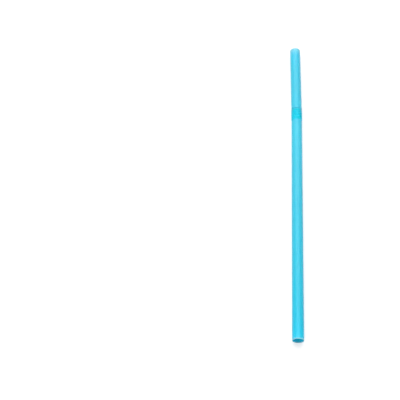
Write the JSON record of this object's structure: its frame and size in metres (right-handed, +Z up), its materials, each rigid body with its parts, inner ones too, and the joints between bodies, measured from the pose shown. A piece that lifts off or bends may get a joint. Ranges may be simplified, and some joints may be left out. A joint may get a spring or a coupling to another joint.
{
  "type": "flexible drinking straw",
  "caption": "Thin-walled drinking straw with a folded bellows neck near one end and a round open mouth at each end.",
  "frame": {"origin": "on the ground under the middle of the straw's whole length and width", "axes": "+Z up; +Y along the straw, from the open mouth that goes into the drink towards the tip; the short tube at the tip leans towards -X"},
  "size_m": [0.0072, 0.1974, 0.0065],
  "materials": {
    "straw_plastic": "satin"
  },
  "bodies": {
    "root": {"straw": "straw_plastic"}
  },
  "joints": []
}
